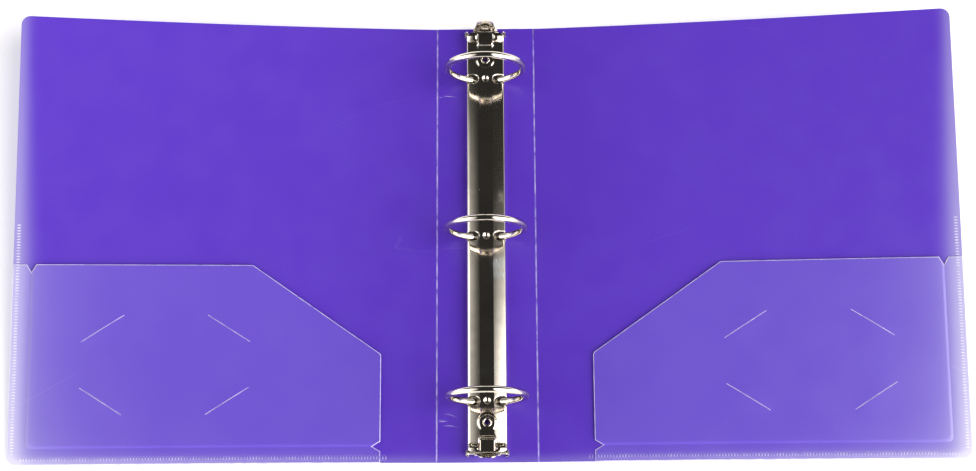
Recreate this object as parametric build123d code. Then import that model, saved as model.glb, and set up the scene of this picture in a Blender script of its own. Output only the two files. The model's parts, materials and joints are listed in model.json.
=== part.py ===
from build123d import *
from math import asin, cos, degrees, radians, sin, sqrt
import os

os.makedirs("parts", exist_ok=True)

# Ring binder, lying open. Millimetres, +Z up. The origin is the middle of the spine's underside,
# +Y runs along the spine towards its top end and +X towards the back cover.

# Sheet case: three panels joined by living hinges
cover_height = 292.0
cover_width = 273.0  # hinge line to outer edge
spine_width = 64.4  # hinge line to hinge line
sheet = 1.2
cover_corner_radius = 6.0
rest_lift = 3.5  # degrees that an open cover stands above flat
hinge_bead_radius = 0.35
hinge_clearance = 0.1

# Pockets, measured outwards from the hinge line and along the spine from the middle
pocket_sheet = 0.5
pocket_height = 127.5
pocket_inset = 35.8  # hinge line to pocket edge
pocket_bulge = 0.6  # space between pocket and cover
outer_weld_width = 12.1
bottom_weld_width = 10.3
slope_width = 83.2
slope_height = 58.3
notch_width = 6.2
notch_depth = 5.2
pocket_corner_radius = 2.6
card_slit_span = 80.6  # between slit middles, along the cover's width
card_slit_rise = 46.6
card_slit_length = 32.0
card_slit_angle = 32.3
card_slit_gap = 0.4
card_to_outer_edge = 99.3
card_to_bottom_edge = 62.8

# Rings
ring_spacing = 107.95
ring_count = 3
ring_radius = 24.6  # to the middle of the wire
wire_radius = 2.15
ring_centre_height = 27.8  # above the spine
seam_offset = 0.7
seam_reach = 0.6
seam_gap = 0.12
tail_offset = 9.5  # where the ring turns down towards its blade
tail_socket = 8.0
tenon_radius = 1.3
tenon_head_radius = 2.0
tenon_head = 0.5

# Pressed steel housing over the blades
steel = 0.8
housing_length = 279.2
housing_half_width = 13.1
housing_height = 7.3
crown_half_width = 4.2
shoulder_half_width = 12.3
shoulder_drop = 1.6
shoulder_radius = 2.2
lip_width = 2.2
slot_clearance = 0.65  # each side of the wire
slot_inner_clearance = 1.05
slot_sill = 3.1  # height of the wall left below each ring slot
dimple_radius = 2.6
dimple_rise = 0.9
end_boss_width = 11.0
end_boss_top_width = 8.4
end_boss_length = 10.1
end_boss_rise = 1.0
ear_length = 3.3
wing_setback = 2.0
rivet_inset = 18.1  # housing's end to rivet
rivet_boss_radius = 5.7
rivet_boss_rise = 0.3

# Blades that carry the rings
blade = 1.2
blade_pivot_inset = 1.9  # from the housing's side to the blade's pivot edge
blade_edge = 0.4  # blade beyond its pivot line
blade_pivot_height = 2.2
closed_dip = 5.5  # degrees below flat with the rings shut
knee_gap = 0.3
blade_setback = 5.1
finger_width = 2.3
finger_length = 2.6
finger_rise = 1.0
post_clearance = 0.8

# Rivets and spacer posts
rivet_radius = 2.5
rivet_bore = 1.7
rivet_rim_radius = 3.0
rivet_rim = 0.5
rivet_head_radius = 4.4
rivet_head = 0.5
post_radius = 4.0

# Levers, one at each end
lever_sheet = 1.2
lever_pivot_outset = 0.7  # past the housing's end
lever_pivot_height = 3.4
lever_side_clearance = 0.5
pin_radius = 1.1
pin_running_clearance = 0.05
pin_head_radius = 1.8
pin_head = 0.5
barrel_radius = 2.0
thumb_lean = 15.0
thumb_height = 12.0
thumb_half_width = 6.4
thumb_waist_height = 5.4
thumb_corner_radius = 4.0
thumb_waist_radius = 5.0
thumb_dish_radius = 18.0
thumb_dish_depth = 0.35
shoulder_lap = 4.6
shoulder_clearance = 0.4
fork_half_width = 3.2
fork_sheet = 0.8
fork_clearance = 0.24
fork_overlap = 1.4  # lower arm past the fingers' ends
fork_climb = 1.1  # upper arm's rise from its tip to its root

spine_top = sheet
housing_top = spine_top + housing_height
housing_half_length = housing_length / 2
pivot_x = housing_half_width - blade_pivot_inset
pivot_z = spine_top + blade_pivot_height
ring_z = spine_top + ring_centre_height
lever_y = housing_half_length + lever_pivot_outset
lever_z = spine_top + lever_pivot_height
ring_rows = [(row - (ring_count - 1) / 2) * ring_spacing for row in range(ring_count)]
ring_names = ["bottom", "middle", "top"]
rivet_row = housing_half_length - rivet_inset
rivet_rows = [-rivet_row, rivet_row]
finger_end = blade_setback - finger_length + lever_pivot_outset  # fingers' ends to lever pivot
end_names = ["bottom", "top"]


def block(x_range, y_range, z_range):
    spans = [x_range, y_range, z_range]
    middle = [(low + high) / 2 for low, high in spans]
    return Pos(*middle) * Box(*[high - low for low, high in spans])


def bar_along_y(face, y_range):
    low, high = y_range
    return extrude(Plane.XZ.offset(-high) * face, high - low)


def post(radius, y, z_range):
    low, high = z_range
    return Pos(0, y, (low + high) / 2) * Cylinder(radius, high - low)


def save(name, shape):
    shape.label = name
    export_step(shape, f"parts/{name}.step")


def left_of(shape):
    return mirror(shape, Plane.YZ)


def swung_right(shape):
    """Puts a flat right-hand blade, or what is on it, at its shut position."""
    return Pos(pivot_x, 0, pivot_z) * Rot(0, -closed_dip, 0) * shape


def make_spine():
    half, edge = spine_width / 2, sheet / 2
    outline = Polyline(
        (-half, edge), (-half + edge, sheet), (half - edge, sheet),
        (half, edge), (half - edge, 0), (-half + edge, 0), close=True,
    )
    face = make_face(outline)
    for side in (-half, half):
        face += Pos(side, edge) * Circle(hinge_bead_radius)
    spine = bar_along_y(face, (-cover_height / 2, cover_height / 2))
    for y in rivet_rows:
        spine -= post(rivet_radius, y, (0, sheet))
        spine -= post(rivet_head_radius, y, (0, rivet_head))
    return spine


def on_right_cover(shape):
    """Turns a piece drawn flat, with the hinge line at x = 0, to the lifted back cover."""
    return Pos(spine_width / 2, 0, sheet / 2) * Rot(0, -rest_lift, 0) * shape


def make_cover():
    start, edge = hinge_bead_radius + hinge_clearance, sheet / 2
    outline = Polyline(
        (start, 0), (start + edge, edge), (cover_width, edge),
        (cover_width, -edge), (start + edge, -edge), close=True,
    )
    cover = bar_along_y(make_face(outline), (-cover_height / 2, cover_height / 2))
    corners = cover.edges().filter_by(Axis.Z).group_by(Axis.X)[-1]
    return on_right_cover(fillet(corners, cover_corner_radius))


def pocket_outline():
    bottom = -cover_height / 2
    top = bottom + pocket_height
    fold_x = cover_width - outer_weld_width
    fold_y = bottom + bottom_weld_width
    points = [
        (pocket_inset, bottom),
        (cover_width, bottom),
        (cover_width, top),
        (fold_x + notch_width / 2, top),
        (fold_x, top - notch_depth),
        (fold_x - notch_width / 2, top),
        (pocket_inset + slope_width, top),
        (pocket_inset, top - slope_height),
        (pocket_inset, fold_y + notch_width / 2),
        (pocket_inset + notch_depth, fold_y),
        (pocket_inset, fold_y - notch_width / 2),
    ]
    face = make_face(Polyline(*points, close=True))
    outer_corner = face.vertices().sort_by_distance((cover_width, bottom))[0]
    return fillet(outer_corner, cover_corner_radius)


def card_slits():
    middle_x = cover_width - card_to_outer_edge
    middle_y = -cover_height / 2 + card_to_bottom_edge
    slits = Sketch()
    for across in (-1, 1):
        for up in (-1, 1):
            place = Pos(middle_x + across * card_slit_span / 2, middle_y + up * card_slit_rise / 2)
            slits += place * Rot(0, 0, -across * up * card_slit_angle) * Rectangle(card_slit_length, card_slit_gap)
    return slits


def make_pocket():
    outline = pocket_outline()
    fold_x = cover_width - outer_weld_width
    fold_y = -cover_height / 2 + bottom_weld_width
    reach = cover_width + cover_height
    window = Pos(fold_x - reach / 2, fold_y + reach / 2) * Rectangle(reach, reach)
    low_corner = window.vertices().sort_by_distance((fold_x, fold_y))[0]
    window = fillet(low_corner, pocket_corner_radius)
    wall = window - offset(window, -pocket_sheet)
    floor = sheet / 2
    welded = extrude(Pos(0, 0, floor) * (outline - window), pocket_sheet)
    raised = extrude(Pos(0, 0, floor + pocket_bulge) * (outline & window - card_slits()), pocket_sheet)
    riser = extrude(Pos(0, 0, floor) * (outline & wall), pocket_bulge + pocket_sheet)
    return on_right_cover(welded + riser + raised)


def housing_section():
    half, height = housing_half_width, housing_height
    right = [(crown_half_width, height), (shoulder_half_width, height - shoulder_drop), (half, 0)]
    left = [(-x, z) for x, z in reversed(right)]
    outer = make_face(Polyline(*right, *left, close=True))
    bends = outer.vertices().group_by(Axis.Y)[-2]
    outer = fillet(bends, shoulder_radius)
    opening = Rectangle(2 * (half - lip_width), 4 * steel)
    return outer - offset(outer, -steel, kind=Kind.INTERSECTION) - opening


def end_boss(width, top_width, rise, y_range):
    base = spine_top + housing_height - shoulder_drop
    top = housing_top + rise
    points = [(-width / 2, base), (-top_width / 2, top), (top_width / 2, top), (width / 2, base)]
    return bar_along_y(make_face(Polyline(*points, close=True)), y_range)


def housing_end():
    """The top end's raised boss, with the hollow under it and the cut-backs beside it."""
    start = housing_half_length - end_boss_length
    span = (start, housing_half_length)
    boss = end_boss(end_boss_width, end_boss_top_width, end_boss_rise, span)
    inner = (start + steel, housing_half_length)
    hollow = end_boss(end_boss_width - 2 * steel, end_boss_top_width - 2 * steel, end_boss_rise - steel, inner)
    ears_end = housing_half_length + ear_length
    wing_start = housing_half_length - wing_setback
    ear_inner = housing_half_width - steel
    sky = (spine_top, housing_top + 2 * end_boss_rise)
    cuts = block((-ear_inner, ear_inner), (housing_half_length, ears_end), sky)
    for side in (-1, 1):
        wing = sorted((side * end_boss_width / 2, side * ear_inner))
        cuts += block(wing, (wing_start, ears_end), sky)
    ear_bow = 2 * (housing_height - shoulder_drop)
    ear_top = spine_top + housing_height - shoulder_drop - shoulder_radius / 2
    cuts += block((-housing_half_width, housing_half_width), (wing_start, ears_end), (ear_top, ear_top + ear_bow))
    keep_boss = block((-end_boss_width / 2, end_boss_width / 2), span, sky)
    return boss, hollow, cuts - keep_boss


def make_housing():
    full = housing_half_length + ear_length
    housing = bar_along_y(Pos(0, spine_top) * housing_section(), (-full, full))
    boss, hollow, cuts = housing_end()
    for end in (boss, mirror(boss, Plane.XZ)):
        housing += end
    for y in rivet_rows:
        disc = post(rivet_boss_radius, y, (housing_top - shoulder_drop, housing_top + rivet_boss_rise))
        room = post(rivet_boss_radius - steel, y, (pivot_z, housing_top + rivet_boss_rise - steel))
        housing = housing + disc - room - post(rivet_radius, y, (pivot_z, housing_top + 2 * rivet_boss_rise))
    for cut in (hollow, cuts):
        housing -= cut
        housing -= mirror(cut, Plane.XZ)
    for y in ring_rows:
        housing += dimple_shell(y)
        housing -= Pos(0, y, housing_top + dimple_rise) * Sphere(dimple_radius)
        for side in (-1, 1):
            housing -= ring_slot(side, y)
    bore = Pos(0, 0, lever_z) * Rot(0, 90, 0) * Cylinder(pin_radius, 2 * housing_half_width)
    for y in (-lever_y, lever_y):
        housing -= Pos(0, y, 0) * bore
    return housing


def dimple_shell(y):
    ball = Pos(0, y, housing_top + dimple_rise) * Sphere(dimple_radius + steel)
    above = housing_top - steel / 2
    reach = dimple_radius + 2 * steel
    lid = block((-reach, reach), (y - reach, y + reach), (above, above + 2 * reach))
    return ball - lid


def ring_slot(side, y):
    half = wire_radius + slot_clearance
    round_end = tail_socket - wire_radius - slot_inner_clearance + half
    z_range = (spine_top + slot_sill, housing_top + housing_height)
    channel = block(sorted((side * round_end, side * (housing_half_width + half))), (y - half, y + half), z_range)
    return channel + Pos(side * round_end, 0, 0) * post(half, y, z_range)


def make_blade():
    """The right-hand blade, drawn flat with its pivot line at x = 0 and its knee towards -x."""
    half_length = housing_half_length - blade_setback
    knee = -(pivot_x - knee_gap)
    thick = (-blade / 2, blade / 2)
    leaf = block((knee, blade_edge), (-half_length, half_length), thick)
    for side in (-1, 1):
        near, far = half_length - finger_rise, half_length + finger_length
        step = (-blade / 2, blade / 2 + finger_rise)
        leaf += block((knee, knee + finger_width), sorted((side * near, side * half_length)), step)
        raised = (finger_rise - blade / 2, finger_rise + blade / 2)
        leaf += block((knee, knee + finger_width), sorted((side * near, side * far)), raised)
    for y in rivet_rows:
        leaf -= Pos(-pivot_x, 0, 0) * post(post_radius + post_clearance, y, thick)
    for y in ring_rows:
        leaf -= Pos(tail_socket - pivot_x, 0, 0) * post(tenon_radius, y, thick)
    return leaf


def beside_seam(side, gap):
    """What lies on one side of the zigzag that parts a ring's two halves at its top."""
    start = seam_offset - side * gap / 2
    left, right = start - seam_reach, start + seam_reach
    step, far = wire_radius / 3, side * 2 * ring_radius
    wide = 2 * wire_radius
    points = [(left, -wide), (left, -3 * step), (right, -step), (left, step), (right, 3 * step)]
    points += [(right, wide), (far, wide), (far, -wide)]
    prism = extrude(make_face(Polyline(*points, close=True)), ring_radius + 2 * wire_radius)
    return Pos(0, 0, ring_z) * prism


def make_ring_half():
    """One right-hand half with its tail, at y = 0; its blade's socket is swung with the blade."""
    turn = degrees(asin(tail_offset / ring_radius))
    past_top = degrees(asin((seam_offset + 2 * seam_reach) / ring_radius))
    arc = Plane.XZ * CenterArc((0, ring_z), ring_radius, turn - 90, 180 - turn + past_top)
    wire = sweep((arc ^ 0) * Circle(wire_radius), path=arc)
    elbow_z = ring_z - sqrt(ring_radius**2 - tail_offset**2)
    elbow = Pos(tail_offset, 0, elbow_z)
    socket = (tail_socket - pivot_x, 0, blade / 2)
    foot = swung_right(Pos(*socket)).position
    tail_line = Line(foot, elbow.position)
    tail = elbow * Sphere(wire_radius) + sweep((tail_line ^ 0) * Circle(wire_radius), path=tail_line)
    ground = block((-pivot_x, blade_edge), (-2 * wire_radius, 2 * wire_radius), (-2 * blade, blade / 2))
    tail -= swung_right(ground)
    tenon = Pos(socket[0], 0, 0) * post(tenon_radius, 0, (-blade / 2, blade))
    head = Pos(socket[0], 0, 0) * post(tenon_head_radius, 0, (-blade / 2 - tenon_head, -blade / 2))
    return wire, tail + swung_right(tenon + head)


def make_rings():
    wire, tail = make_ring_half()
    right = wire - beside_seam(-1, seam_gap) + tail
    left = left_of(wire) - beside_seam(1, seam_gap) + left_of(tail)
    return left, right


def make_rivet(y):
    top = housing_top + rivet_boss_rise
    rivet = post(rivet_head_radius, y, (0, rivet_head)) + post(rivet_radius, y, (0, top))
    rim = post(rivet_rim_radius, y, (top, top + rivet_rim))
    rivet += fillet(rim.edges().group_by(Axis.Z)[-1], rivet_rim / 2)
    return rivet - post(rivet_bore, y, (rivet_head, top + rivet_rim))


def make_post(y):
    top = housing_top + rivet_boss_rise - steel
    return post(post_radius, y, (spine_top, top)) - post(rivet_radius, y, (spine_top, top))


def make_lever_pin():
    reach = housing_half_width
    pin = Cylinder(pin_radius, 2 * (reach + pin_head))
    for side in (-1, 1):
        pin += Pos(0, 0, side * (reach + pin_head / 2)) * Cylinder(pin_head_radius, pin_head)
    return Pos(0, lever_y, lever_z) * Rot(0, 90, 0) * pin


def finger_height(from_knee, face):
    """Height of a shut blade finger's upper (1) or lower (-1) face, from the lever's pivot."""
    reach = pivot_x - knee_gap - from_knee
    dip = radians(closed_dip)
    return pivot_z - lever_z - reach * sin(dip) + (finger_rise + face * blade / 2) * cos(dip)


def fork_face():
    """Side view of the two arms that hold the blade fingers, from the lever's pivot."""
    low = finger_height(0, -1) - fork_clearance
    high = finger_height(finger_width, 1) + fork_clearance
    low_tip, high_tip = -finger_end - fork_overlap, -finger_end - fork_overlap - 1
    root = barrel_radius / 2
    lower = [
        (low_tip, low), (low_tip, low - fork_sheet), (-root, low - fork_sheet),
        (root / 2, -barrel_radius), (root / 2, 0), (-root, 0), (-2 * root + 0.2, low),
    ]
    upper = [
        (high_tip, high), (high_tip, high + fork_sheet), (-finger_end, high + fork_climb + fork_sheet),
        (0, barrel_radius), (0, 0), (-root, high + fork_climb), (-finger_end, high + fork_climb),
    ]
    return make_face(Polyline(*lower, close=True)) + make_face(Polyline(*upper, close=True))


def make_lever():
    """The top end's lever: thumb piece, shoulders over the housing, barrel and fork."""
    half_width = housing_half_width - steel - lever_side_clearance
    base_y = barrel_radius - lever_sheet
    base_z = housing_top + shoulder_clearance + lever_sheet - lever_z
    full = housing_half_width - lever_side_clearance
    waist = [(thumb_half_width, thumb_waist_height), (thumb_half_width, thumb_height)]
    right = [(full, -lever_sheet / 2), (full, lever_sheet / 2), *waist]
    points = [*right, *[(-x, z) for x, z in reversed(right)]]
    face = make_face(Polyline(*points, close=True))
    face = fillet(face.vertices().group_by(Axis.Y)[-1], thumb_corner_radius)
    waist_corners = face.vertices().filter_by(
        lambda v: abs(v.Y - thumb_waist_height) < 0.01 and abs(abs(v.X) - thumb_half_width) < 0.01
    )
    face = fillet(waist_corners, thumb_waist_radius)
    lean = radians(thumb_lean)
    inner_face = Plane((0, base_y, base_z), x_dir=(1, 0, 0), z_dir=(0, -cos(lean), sin(lean)))
    thumb = extrude(inner_face * face, -lever_sheet)
    dish_height = (thumb_waist_height + thumb_height) / 2
    ball = Pos(0, dish_height, thumb_dish_radius - thumb_dish_depth) * Sphere(thumb_dish_radius)
    thumb -= inner_face * ball
    web = block((-half_width, half_width), (base_y, base_y + lever_sheet), (-barrel_radius + 0.4, base_z))
    lap = block((-full, full), (-wing_setback - shoulder_lap, base_y + lever_sheet), (base_z - lever_sheet, base_z))
    gap = end_boss_width / 2 + shoulder_clearance
    lap -= block((-gap, gap), (-wing_setback - 2 * shoulder_lap, 0), (base_z - 2 * lever_sheet, base_z))
    barrel = Rot(0, 90, 0) * Cylinder(barrel_radius, 2 * half_width)
    fork = extrude(Plane.YZ * fork_face(), fork_half_width, both=True)
    lever = web + lap + barrel + fork + thumb
    lever -= Rot(0, 90, 0) * Cylinder(pin_radius + pin_running_clearance, 2 * full)
    return Pos(0, lever_y, lever_z) * lever


save("spine_panel", make_spine())
back_cover, back_pocket = make_cover(), make_pocket()
save("back_cover_panel", back_cover)
save("back_pocket", back_pocket)
save("front_cover_panel", left_of(back_cover))
save("front_pocket", left_of(back_pocket))

save("ring_housing", make_housing())
right_blade = swung_right(make_blade())
save("right_blade", right_blade)
save("left_blade", left_of(right_blade))
left_half, right_half = make_rings()
for ring_name, ring_y in zip(ring_names, ring_rows):
    save(f"{ring_name}_ring_left", Pos(0, ring_y, 0) * left_half)
    save(f"{ring_name}_ring_right", Pos(0, ring_y, 0) * right_half)

top_lever, top_pin = make_lever(), make_lever_pin()
save("top_lever", top_lever)
save("bottom_lever", mirror(top_lever, Plane.XZ))
save("top_lever_pin", top_pin)
save("bottom_lever_pin", mirror(top_pin, Plane.XZ))
for end_name, rivet_y in zip(end_names, rivet_rows):
    save(f"{end_name}_rivet", make_rivet(rivet_y))
    save(f"{end_name}_spacer", make_post(rivet_y))
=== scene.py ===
import json
import math

import bmesh
import bpy
from mathutils import Euler, Matrix, Vector


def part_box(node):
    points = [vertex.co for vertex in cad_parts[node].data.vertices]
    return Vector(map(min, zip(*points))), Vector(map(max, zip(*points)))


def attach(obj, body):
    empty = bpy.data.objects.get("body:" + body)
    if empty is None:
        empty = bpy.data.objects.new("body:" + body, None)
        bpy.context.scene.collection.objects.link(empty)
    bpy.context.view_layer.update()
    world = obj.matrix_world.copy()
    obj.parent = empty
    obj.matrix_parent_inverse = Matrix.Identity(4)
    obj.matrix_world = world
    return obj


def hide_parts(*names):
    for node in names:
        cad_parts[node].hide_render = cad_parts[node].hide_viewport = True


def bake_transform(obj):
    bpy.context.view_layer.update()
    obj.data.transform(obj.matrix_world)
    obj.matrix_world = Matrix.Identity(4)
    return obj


# Ring binder lying open, seen from above its bottom end. Metres, +Y towards the top end of the spine.
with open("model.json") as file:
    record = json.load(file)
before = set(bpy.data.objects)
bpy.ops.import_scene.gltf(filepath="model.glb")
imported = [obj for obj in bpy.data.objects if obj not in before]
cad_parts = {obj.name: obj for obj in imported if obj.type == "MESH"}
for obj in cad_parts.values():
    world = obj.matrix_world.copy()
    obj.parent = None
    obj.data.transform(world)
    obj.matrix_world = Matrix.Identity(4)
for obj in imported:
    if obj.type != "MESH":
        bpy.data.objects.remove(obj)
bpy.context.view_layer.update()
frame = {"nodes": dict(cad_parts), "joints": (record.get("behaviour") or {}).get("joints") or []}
scene = bpy.context.scene
print("frame loaded")

# Camera
viewpoint = {
    "place": (0.013153, -0.278033, 1.068882),
    "tilt": 14.694,  # degrees from straight down, towards the top end
    "roll": 0.734,
    "turn": -0.316,
    "lens": 62.33,
    "sensor": 36.0,
}


def placeCamera():
    lens = bpy.data.cameras.new("binderCamera")
    lens.lens = viewpoint["lens"]
    lens.sensor_width = viewpoint["sensor"]
    lens.dof.use_dof = False
    camera = bpy.data.objects.new("binderCamera", lens)
    scene.collection.objects.link(camera)
    camera.location = viewpoint["place"]
    angles = [math.radians(viewpoint[key]) for key in ("tilt", "roll", "turn")]
    camera.rotation_euler = Euler(angles)
    scene.camera = camera


placeCamera()


# Light
studio = {
    "tint": (1.0, 0.982, 0.958, 1.0),
    "ambient": 0.03,  # what the metal mirrors straight above
    "horizon": 1.3,  # pale walls low down
    "horizonFade": (0.30, 0.12),
    "skirt": (0.0, 0.06),  # the boxes fade out towards the floor
    "boxes": {
        # side, inner edge, back edge and strength of each big soft box
        "right": (1.0, (0.27, 0.45), (0.28, 0.09), 4.15),
        "left": (-1.0, (0.33, 0.52), (0.355, 0.255), 0.95),
        "leftLow": (-1.0, (0.50, 0.75), (0.33, 0.19), 1.35),
    },
}


def addNode(tree, kind, feeds=None, **settings):
    made = tree.nodes.new(kind)
    for name, value in settings.items():
        setattr(made, name, value)
    for key, value in (feeds or {}).items():
        if isinstance(value, bpy.types.NodeSocket):
            tree.links.new(value, made.inputs[key])
        else:
            made.inputs[key].default_value = value
    return made


def calc(tree, operation, *values, clamp=False):
    feeds = dict(enumerate(values))
    return addNode(tree, "ShaderNodeMath", feeds, operation=operation, use_clamp=clamp).outputs[0]


def fade(tree, value, start, end, low=0.0, high=1.0):
    feeds = {"Value": value, "From Min": start, "From Max": end, "To Min": low, "To Max": high}
    made = addNode(tree, "ShaderNodeMapRange", feeds, interpolation_type="SMOOTHSTEP")
    return made.outputs["Result"]


def mixColour(tree, amount, under, over, blend="MIX"):
    made = addNode(tree, "ShaderNodeMix", data_type="RGBA", blend_type=blend)
    for key, value in ((0, amount), (6, under), (7, over)):
        if isinstance(value, bpy.types.NodeSocket):
            tree.links.new(value, made.inputs[key])
        else:
            made.inputs[key].default_value = value
    return made.outputs[2]


def times(tree, *values):
    total = values[0]
    for value in values[1:]:
        total = calc(tree, "MULTIPLY", total, value)
    return total


def addNoise(tree, place, scale, detail, **feeds):
    feeds.update({"Vector": place, "Scale": scale, "Detail": detail})
    return addNode(tree, "ShaderNodeTexNoise", feeds).outputs


def axesOf(tree, place):
    return addNode(tree, "ShaderNodeSeparateXYZ", {0: place}).outputs


def lightStudio():
    world = bpy.data.worlds.new("studio")
    world.use_nodes = True
    tree = world.node_tree
    tree.nodes.clear()
    direction = addNode(tree, "ShaderNodeTexCoord").outputs["Generated"]
    axes = axesOf(tree, direction)
    glow = fade(tree, axes["Z"], *studio["horizonFade"], studio["ambient"], studio["horizon"])
    above = fade(tree, axes["Z"], *studio["skirt"])
    for side, inner, back, strength in studio["boxes"].values():
        across = fade(tree, times(tree, axes["X"], side), *inner)
        forward = fade(tree, axes["Y"], *back)
        spot = times(tree, across, forward, above)
        glow = calc(tree, "MULTIPLY_ADD", spot, strength, glow)
    shade = addNode(tree, "ShaderNodeBackground", {"Color": studio["tint"], "Strength": glow})
    sink = addNode(tree, "ShaderNodeOutputWorld")
    tree.links.new(shade.outputs[0], sink.inputs["Surface"])
    scene.world = world
    scene.view_settings.view_transform = "Standard"
    scene.view_settings.look = "None"


lightStudio()
print("camera and light placed")


# Shared effects
def startGroup(name, inputs, outputs):
    group = bpy.data.node_groups.new(name, "ShaderNodeTree")
    for label, value in inputs.items():
        kind = "NodeSocketFloat" if isinstance(value, float) else "NodeSocketColor"
        group.interface.new_socket(label, in_out="INPUT", socket_type=kind).default_value = value
    for label, kind in outputs.items():
        group.interface.new_socket(label, in_out="OUTPUT", socket_type=kind)
    source = group.nodes.new("NodeGroupInput")
    sink = group.nodes.new("NodeGroupOutput")
    return group, source.outputs, sink.inputs


def placeOf(tree):
    return addNode(tree, "ShaderNodeTexCoord").outputs["Object"]


ribbing = {
    "pitch": 0.0019,
    "angle": math.radians(39.0),
    "wobble": (28.0, 1.5),  # scale of the unevenness and how far it shifts the ribs
    "fading": (60.0, 0.25, 0.65, 0.45),  # scale, start and end of weaker patches, and what is left there
}


def makeDiagonalEmboss():
    # Fine slanting ribs pressed into the sheet. Slant -1 leans them like /, and 1 like \.
    group, given, out = startGroup(
        "diagonalEmboss",
        {"Slant": 1.0, "Pitch": ribbing["pitch"], "Angle": ribbing["angle"]},
        {"Height": "NodeSocketFloat", "Shade": "NodeSocketFloat"},
    )
    place = placeOf(group)
    axes = axesOf(group, place)
    across = times(group, axes["X"], calc(group, "SINE", given["Angle"]), given["Slant"])
    along = times(group, axes["Y"], calc(group, "COSINE", given["Angle"]))
    phase = calc(group, "DIVIDE", calc(group, "ADD", across, along), given["Pitch"])
    scale, shift = ribbing["wobble"]
    wobble = times(group, addNoise(group, place, scale, 2.0)["Fac"], shift)
    wave = calc(group, "SINE", calc(group, "ADD", times(group, phase, math.tau), wobble))
    scale, start, end, least = ribbing["fading"]
    patches = addNoise(group, place, scale, 2.0)["Fac"]
    wave = times(group, wave, fade(group, patches, start, end, least, 1.0))
    group.links.new(calc(group, "MULTIPLY_ADD", wave, 0.5, 0.5), out["Height"])
    # Shade: painted light and shade across the ribs, put into the sheet's colour
    group.links.new(wave, out["Shade"])
    return group


scratching = {
    "sets": ((1.0, 0.0), (-1.6, 7.3)),  # how far each set of lines is turned, and its place in the noise
    "bends": (9.0, (0.0, 0.02, 0.0)),  # scale and reach of slow bends in the lines
    "gaps": 31.0,
}


def makeFineScratches():
    # Long hair scratches in two directions, each broken up by a coarse noise.
    group, given, out = startGroup(
        "fineScratches",
        {"Scale": 14.0, "Length": 14.0, "Turn": 0.3, "Fineness": 0.012, "Cover": 0.58},
        {"Mask": "NodeSocketFloat"},
    )
    place = placeOf(group)
    scale, reach = scratching["bends"]
    total = None
    for turn, offset in scratching["sets"]:
        feeds = {"Vector": place, "Angle": times(group, given["Turn"], turn)}
        turned = addNode(group, "ShaderNodeVectorRotate", feeds, rotation_type="Z_AXIS")
        axes = axesOf(group, turned.outputs[0])
        short = calc(group, "DIVIDE", axes["X"], given["Length"])
        spot = addNode(group, "ShaderNodeCombineXYZ", {0: short, 1: axes["Y"], 2: offset})
        feeds = {0: addNoise(group, place, scale, 1.0)["Color"], 1: reach}
        bend = addNode(group, "ShaderNodeVectorMath", feeds, operation="MULTIPLY")
        feeds = {0: spot.outputs[0], 1: bend.outputs[0]}
        spot = addNode(group, "ShaderNodeVectorMath", feeds, operation="ADD").outputs[0]
        noise = addNoise(group, spot, given["Scale"], 3.0)["Fac"]
        line = calc(group, "ABSOLUTE", calc(group, "SUBTRACT", noise, 0.5))
        line = calc(group, "SUBTRACT", 1.0, calc(group, "DIVIDE", line, given["Fineness"]), clamp=True)
        gaps = addNoise(group, spot, scratching["gaps"], 2.0)["Fac"]
        line = times(group, line, calc(group, "GREATER_THAN", gaps, given["Cover"]))
        total = line if total is None else calc(group, "MAXIMUM", total, line)
    group.links.new(total, out["Mask"])
    return group


def makeSpecks():
    # Tiny bright flecks of dust and burrs.
    group, given, out = startGroup(
        "specks",
        {"Scale": 60.0, "Size": 0.03, "Share": 0.9},
        {"Mask": "NodeSocketFloat"},
    )
    feeds = {"Vector": placeOf(group), "Scale": given["Scale"]}
    cells = addNode(group, "ShaderNodeTexVoronoi", feeds)
    near = calc(group, "LESS_THAN", cells.outputs["Distance"], given["Size"])
    tint = addNode(group, "ShaderNodeSeparateColor", {0: cells.outputs["Color"]})
    chosen = calc(group, "GREATER_THAN", tint.outputs[0], given["Share"])
    group.links.new(times(group, near, chosen), out["Mask"])
    return group


# Painted light along the sheets' edges: where it reaches and how strong it is.
gathered = {
    "outer": 0.3047,
    "end": 0.146,
    "reach": (-0.02, 0.13, 0.0096, 0.0054),  # two places along the outer edge, and the glow's width there
    "dimming": (1.15, 3.3),  # strength half way up the outer edge, and its loss per metre upwards
    "wideShares": (0.86, 0.14),  # the part of the wide glow that fades inwards, and the part that stays
    "footHeight": 0.0042,
    "footRun": (0.0, 0.3, 0.25, 1.0),  # the bottom edge's glow grows outwards
    "cornerRates": (-40.0, -28.0),  # how fast the painted light at the corner fades upwards and inwards
    "most": 0.85,
}


def decay(tree, value, rate=-1.0):
    return calc(tree, "EXPONENT", times(tree, value, rate))


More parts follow.
